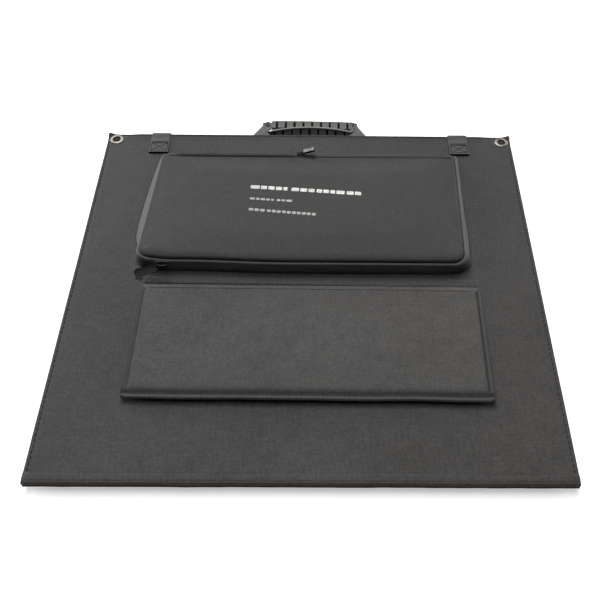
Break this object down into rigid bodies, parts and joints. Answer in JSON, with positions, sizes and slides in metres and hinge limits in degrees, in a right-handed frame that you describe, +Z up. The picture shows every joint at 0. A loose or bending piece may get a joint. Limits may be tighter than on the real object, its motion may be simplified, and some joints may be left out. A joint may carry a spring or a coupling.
{
  "type": "folding solar suitcase kit",
  "caption": "Folding solar suitcase of two fabric-covered halves with a zipped accessory pocket, fold-out stand flaps, closure straps, corner eyelets and carrying grips.",
  "frame": {"origin": "middle of the folded kit's footprint, on the ground", "axes": "+Z up through the folded kit's thickness, +Y from the fold spine towards the carrying handles, +X to the right across its width"},
  "size_m": [0.535, 0.5364, 0.0366],
  "materials": {
    "fabric": "woven polyester, matt charcoal",
    "lining": "plain woven lining",
    "webbing": "25 mm ribbed webbing",
    "board": "sheet stiffener",
    "laminate": "white back sheet",
    "cells": "dark blue cells with thin silver ribbons",
    "film": "clear stippled film",
    "nickel": "nickel plated, slightly warm",
    "grip": "ribbed moulded rubber",
    "hook_loop": "hook and loop",
    "zipper": "coil zipper and tape",
    "slider": "black lacquered slider and moulded pull",
    "controller_shell": "moulded case",
    "button": "light grey button",
    "circuit": "green circuit board",
    "cable": "black sleeved cable and plugs"
  },
  "bodies": {
    "lower_half": {"lower_back_cover": "fabric", "lower_stiffener_board": "board", "lower_laminate": "laminate", "lower_front_film": "film", "lower_solar_cells": "cells", "lower_front_frame": "lining", "lower_spine_strip": "fabric", "lower_eyelet_left": "nickel", "lower_eyelet_right": "nickel", "lower_eyelet_washer_left": "nickel", "lower_eyelet_washer_right": "nickel", "lower_stand_loop_pad": "hook_loop", "lower_stand_hinge_tape": "fabric", "lower_closure_tab_left": "hook_loop", "lower_closure_tab_right": "hook_loop"},
    "upper_half": {"upper_back_cover": "fabric", "upper_stiffener_board": "board", "upper_laminate": "laminate", "upper_front_film": "film", "upper_solar_cells": "cells", "upper_front_frame": "lining", "upper_spine_strip": "fabric", "upper_eyelet_left": "nickel", "upper_eyelet_right": "nickel", "upper_eyelet_washer_left": "nickel", "upper_eyelet_washer_right": "nickel", "upper_stand_loop_pad": "hook_loop", "upper_stand_hinge_tape": "fabric", "closure_anchor_left": "webbing", "closure_anchor_right": "webbing", "pocket_gusset": "fabric", "main_zipper_lower_tape": "zipper", "controller_case": "controller_shell", "controller_board": "circuit", "controller_cover": "controller_shell", "controller_plug": "cable", "output_cable": "cable", "output_plug": "cable"},
    "upper_stand": {"upper_stand_cover": "fabric", "upper_stand_board": "board", "upper_stand_hook_pad": "hook_loop"},
    "lower_stand": {"lower_stand_cover": "fabric", "lower_stand_board": "board", "lower_stand_hook_pad": "hook_loop"},
    "upper_handle": {"upper_handle_webbing": "webbing", "upper_handle_grip": "grip"},
    "lower_handle": {"lower_handle_webbing": "webbing", "lower_handle_grip": "grip"},
    "closure_strap_left": {"closure_strap_left": "webbing"},
    "closure_strap_right": {"closure_strap_right": "webbing"},
    "pocket_flap": {"pocket_flap_lining": "lining", "pocket_front_panel": "fabric", "main_zipper_upper_tape": "zipper", "top_zipper_tape": "zipper"},
    "main_zipper_slider": {"main_zipper_slider": "slider"},
    "main_zipper_pull": {"main_zipper_pull": "slider"},
    "top_zipper_slider": {"top_zipper_slider": "slider"},
    "top_zipper_pull": {"top_zipper_pull": "slider"},
    "controller_button_left": {"controller_button_left": "button"},
    "controller_button_right": {"controller_button_right": "button"}
  },
  "joints": [
    {"name": "fold", "type": "hinge", "parent": "lower_half", "child": "upper_half", "pos_m": [0, -0.26835, 0.0108], "axis": [1, 0, 0], "range_deg": [0, 180]},
    {"name": "upper_stand_hinge", "type": "hinge", "parent": "upper_half", "child": "upper_stand", "pos_m": [0.0053, -0.02615, 0.01605], "axis": [-1, 0.007, 0], "range_deg": [0, 90]},
    {"name": "lower_stand_hinge", "type": "hinge", "parent": "lower_half", "child": "lower_stand", "pos_m": [0, -0.02615, 0.004], "axis": [1, 0, 0], "range_deg": [0, 90]},
    {"name": "upper_handle_swing", "type": "hinge", "parent": "upper_half", "child": "upper_handle", "pos_m": [0, 0.23415, 0.01335], "axis": [1, 0, 0], "range_deg": [0, 90]},
    {"name": "lower_handle_swing", "type": "hinge", "parent": "lower_half", "child": "lower_handle", "pos_m": [0, 0.23415, 0.00825], "axis": [-1, 0, 0], "range_deg": [0, 90]},
    {"name": "closure_strap_left_lift", "type": "hinge", "parent": "upper_half", "child": "closure_strap_left", "pos_m": [-0.197, 0.21795, 0.01755], "axis": [1, 0, 0], "range_deg": [0, 150]},
    {"name": "closure_strap_right_lift", "type": "hinge", "parent": "upper_half", "child": "closure_strap_right", "pos_m": [0.197, 0.21795, 0.01755], "axis": [1, 0, 0], "range_deg": [0, 150]},
    {"name": "pocket_flap_open", "type": "hinge", "parent": "upper_half", "child": "pocket_flap", "pos_m": [0, 0.19005, 0.02255], "axis": [-1, 0, 0], "range_deg": [0, 95]},
    {"name": "main_zipper_slide", "type": "slide", "parent": "upper_half", "child": "main_zipper_slider", "axis": [1, 0, 0], "range_m": [0, 0.322]},
    {"name": "main_zipper_pull_swing", "type": "hinge", "parent": "main_zipper_slider", "child": "main_zipper_pull", "pos_m": [-0.166, -0.01135, 0.0301], "axis": [0, 0, 1], "range_deg": [0, 170]},
    {"name": "top_zipper_slide", "type": "slide", "parent": "pocket_flap", "child": "top_zipper_slider", "axis": [1, 0, 0], "range_m": [-0.155, 0.165]},
    {"name": "top_zipper_pull_swing", "type": "hinge", "parent": "top_zipper_slider", "child": "top_zipper_pull", "pos_m": [-0.009, 0.18665, 0.02815], "axis": [0, -1, 0], "range_deg": [-14, 90]},
    {"name": "controller_button_left_press", "type": "slide", "parent": "upper_half", "child": "controller_button_left", "axis": [0, 0, -1], "range_m": [0, 0.0008]},
    {"name": "controller_button_right_press", "type": "slide", "parent": "upper_half", "child": "controller_button_right", "axis": [0, 0, -1], "range_m": [0, 0.0008]}
  ]
}
